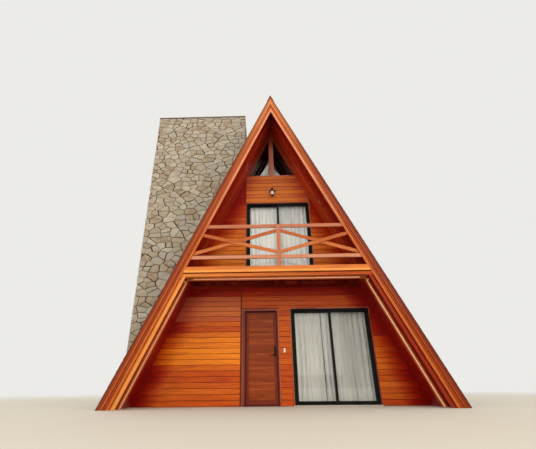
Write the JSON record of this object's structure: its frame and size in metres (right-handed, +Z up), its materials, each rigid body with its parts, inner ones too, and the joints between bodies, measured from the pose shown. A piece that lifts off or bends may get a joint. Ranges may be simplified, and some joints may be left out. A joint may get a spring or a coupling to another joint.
{
  "type": "a-frame cabin",
  "caption": "Timber A-frame cabin with a recessed front, a railed balcony, sliding doors and a stone tower through one roof slope",
  "frame": {"origin": "bottom centre of the bounding box, on the ground", "axes": "X to the right seen from the front, Y to the rear, Z up"},
  "size_m": [7.3, 7.4, 8.53],
  "materials": {
    "varnished_timber": "orange-red varnished softwood boards",
    "dark_timber": "dark red-brown varnished timber",
    "pale_timber": "light orange varnished timber",
    "brown_door": "brown-red painted boarded door",
    "shingle": "weathered grey-brown shingles",
    "field_stone": "beige-grey field stone with dark joints",
    "floor_tile": "matt grey floor tiles",
    "clear_glass": "clear float glass",
    "opal_glass": "white opal glass",
    "black_aluminium": "black powder-coated aluminium",
    "black_steel": "black painted steel",
    "white_plastic": "white plastic",
    "white_metal": "white painted metal",
    "curtain_cloth": "cream woven curtain cloth"
  },
  "bodies": {
    "cabin": {"ground_floor": "floor_tile", "upper_floor": "dark_timber", "balcony_boards": "varnished_timber", "balcony_joists": "dark_timber", "balcony_beam": "pale_timber", "balcony_bearers": "pale_timber", "portal_rafters": "dark_timber", "portal_tie": "dark_timber", "portal_bead": "pale_timber", "porch_casing": "dark_timber", "porch_battens": "pale_timber", "roof_covering": "shingle", "ridge_cap": "shingle", "roof_boards": "dark_timber", "rafters": "dark_timber", "lining": "dark_timber", "rake_backing": "dark_timber", "outer_rakes": "varnished_timber", "inner_rakes": "pale_timber", "front_wall_lower": "varnished_timber", "front_wall_head": "varnished_timber", "front_wall_upper": "varnished_timber", "rear_wall": "varnished_timber", "gable_frames": "dark_timber", "window_glass": "clear_glass", "door_frame": "dark_timber", "door_hinges": "black_steel", "opening_trim": "pale_timber", "patio_frame": "black_aluminium", "patio_sill": "field_stone", "upper_door": "black_aluminium", "rear_windows": "black_aluminium", "curtain_tracks": "white_metal", "curtains": "curtain_cloth", "railing_rails": "varnished_timber", "railing_post": "varnished_timber", "railing_braces": "varnished_timber", "wall_lamp": "black_steel", "lamp_glass": "opal_glass", "bell_plate": "white_plastic", "tower_walls": "field_stone", "tower_cap": "field_stone"},
    "door": {"front_door": "brown_door", "door_handles": "black_steel"},
    "patio_left": {"patio_leaf_left": "black_aluminium", "patio_glass_left": "clear_glass"},
    "patio_right": {"patio_leaf_right": "black_aluminium", "patio_glass_right": "clear_glass"}
  },
  "joints": [
    {"name": "door_swing", "type": "hinge", "parent": "cabin", "child": "door", "pos_m": [-0.767, -2.5162, 1.07], "axis": [0, 0, 1], "range_deg": [0, 85]},
    {"name": "patio_left_slide", "type": "slide", "parent": "cabin", "child": "patio_left", "axis": [1, 0, 0], "range_m": [0, 0.88]},
    {"name": "patio_right_slide", "type": "slide", "parent": "cabin", "child": "patio_right", "axis": [-1, 0, 0], "range_m": [0, 0.88]}
  ]
}
